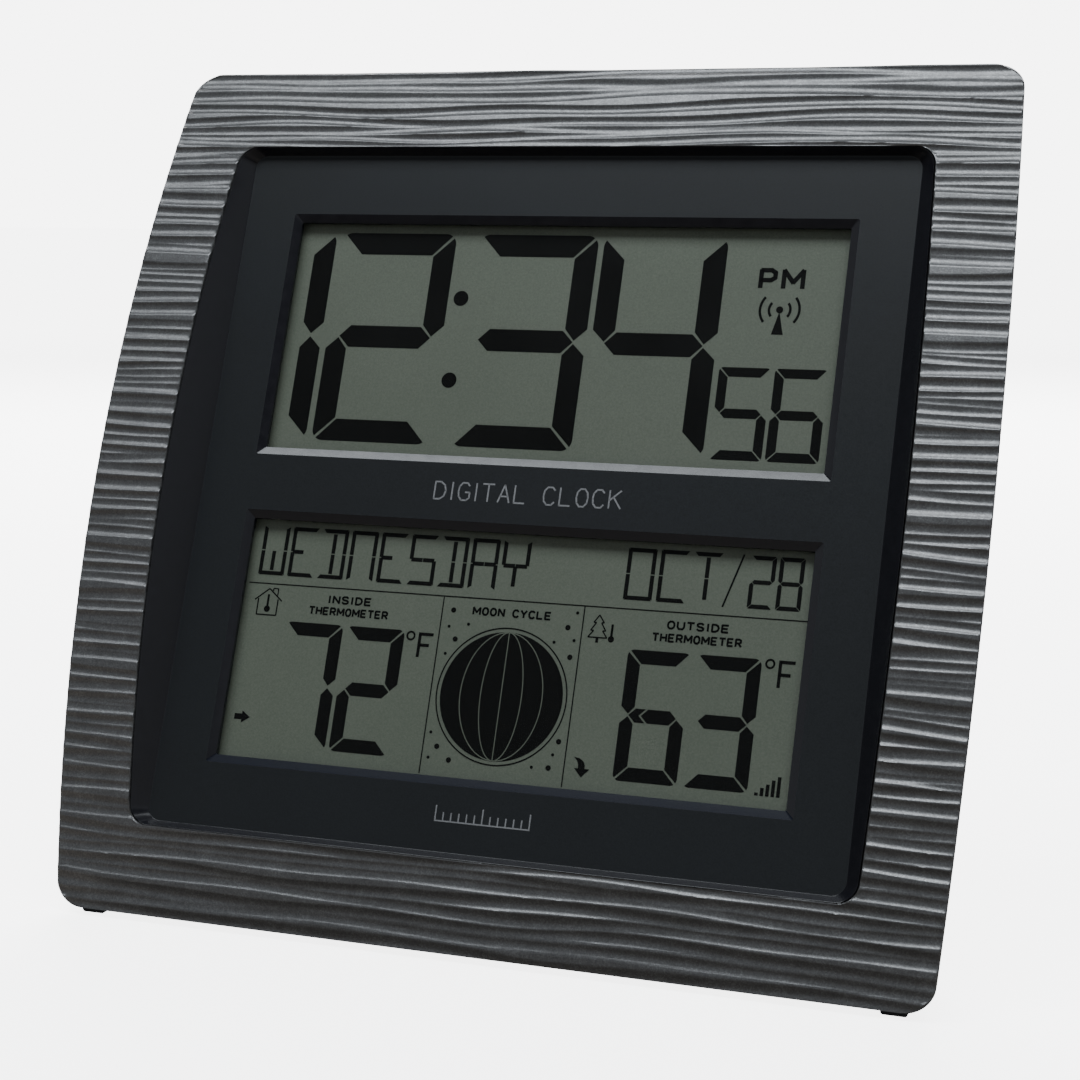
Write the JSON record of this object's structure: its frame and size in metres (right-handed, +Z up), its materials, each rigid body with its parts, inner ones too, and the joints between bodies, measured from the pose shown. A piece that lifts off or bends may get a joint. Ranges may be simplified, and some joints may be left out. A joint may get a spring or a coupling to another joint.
{
  "type": "digital desk and wall clock",
  "caption": "Square digital clock with a bowed rippled metallic frame, dark recessed bezel, two LCD windows, battery bay, rear buttons and a fold-out leg.",
  "frame": {"origin": "centre of the footprint's bounding box on the table, with the clock standing on its front feet and open rear leg", "axes": "+X across the face to the viewer's right, +Y towards the back, +Z up; the face looks along -Y and leans back 22 degrees"},
  "size_m": [0.2344, 0.1038, 0.2136],
  "materials": {
    "frame_finish": "satin metallic gunmetal paint",
    "bezel_black": "satin",
    "clear_window": "polished clear",
    "lcd_glass": "polished",
    "carrier_white": "satin",
    "connector_rubber": "matt",
    "circuit_board": "satin",
    "dark_component": "matt",
    "steel": "plated",
    "ferrite": "matt",
    "copper_wire": "enamelled",
    "case_black": "fine textured",
    "battery_can": "gloss",
    "red_insulation": "satin",
    "black_insulation": "satin",
    "foot_rubber": "matt",
    "button_rubber": "matt"
  },
  "bodies": {
    "clock": {"front_frame": "frame_finish", "display_bezel": "bezel_black", "upper_lens": "clear_window", "lower_lens": "clear_window", "upper_lcd": "lcd_glass", "lower_lcd": "lcd_glass", "lcd_carrier": "carrier_white", "upper_zebra_strip": "connector_rubber", "lower_zebra_strip": "connector_rubber", "main_board": "circuit_board", "chip_blob": "dark_component", "crystal_can": "steel", "thermistor": "dark_component", "tact_switch_1": "dark_component", "tact_switch_2": "dark_component", "tact_switch_3": "dark_component", "tact_switch_4": "dark_component", "ferrite_rod": "ferrite", "antenna_coil": "copper_wire", "antenna_cradle_1": "carrier_white", "antenna_cradle_2": "carrier_white", "time_receiver_board": "circuit_board", "sensor_receiver_board": "circuit_board", "helical_antenna": "copper_wire", "rear_cover": "case_black", "battery_upper": "battery_can", "battery_lower": "battery_can", "positive_contact": "steel", "negative_spring": "steel", "link_contact": "steel", "battery_lead_positive": "red_insulation", "battery_lead_negative": "black_insulation", "stand_hinge_pin": "steel", "board_screw_1": "steel", "board_screw_2": "steel", "board_screw_3": "steel", "board_screw_4": "steel", "bezel_screw_1": "steel", "bezel_screw_2": "steel", "bezel_screw_3": "steel", "bezel_screw_4": "steel", "cover_screw_1": "steel", "cover_screw_2": "steel", "cover_screw_3": "steel", "cover_screw_4": "steel", "cover_screw_5": "steel", "cover_screw_6": "steel", "foot_left": "foot_rubber", "foot_right": "foot_rubber"},
    "stand": {"stand_leg": "case_black", "stand_pad": "foot_rubber"},
    "battery_door": {"battery_door": "case_black"},
    "button_1": {"rear_button_1": "button_rubber"},
    "button_2": {"rear_button_2": "button_rubber"},
    "button_3": {"rear_button_3": "button_rubber"},
    "button_4": {"rear_button_4": "button_rubber"}
  },
  "joints": [
    {"name": "stand_fold", "type": "hinge", "parent": "clock", "child": "stand", "pos_m": [0, 0.01621, 0.11255], "axis": [-1, 0, 0], "range_deg": [0, 33.5]},
    {"name": "battery_door_swing", "type": "hinge", "parent": "clock", "child": "battery_door", "pos_m": [0.067, -0.01578, 0.02857], "axis": [-1, 0, 0], "range_deg": [0, 75]},
    {"name": "button_1_press", "type": "slide", "parent": "clock", "child": "button_1", "axis": [0, -0.9272, 0.3746], "range_m": [0, 0.0008], "stiffness_N_per_m": 1500, "springref_m": -0.0003},
    {"name": "button_2_press", "type": "slide", "parent": "clock", "child": "button_2", "axis": [0, -0.9272, 0.3746], "range_m": [0, 0.0008], "stiffness_N_per_m": 1500, "springref_m": -0.0003},
    {"name": "button_3_press", "type": "slide", "parent": "clock", "child": "button_3", "axis": [0, -0.9272, 0.3746], "range_m": [0, 0.0008], "stiffness_N_per_m": 1500, "springref_m": -0.0003},
    {"name": "button_4_press", "type": "slide", "parent": "clock", "child": "button_4", "axis": [0, -0.9272, 0.3746], "range_m": [0, 0.0008], "stiffness_N_per_m": 1500, "springref_m": -0.0003}
  ]
}
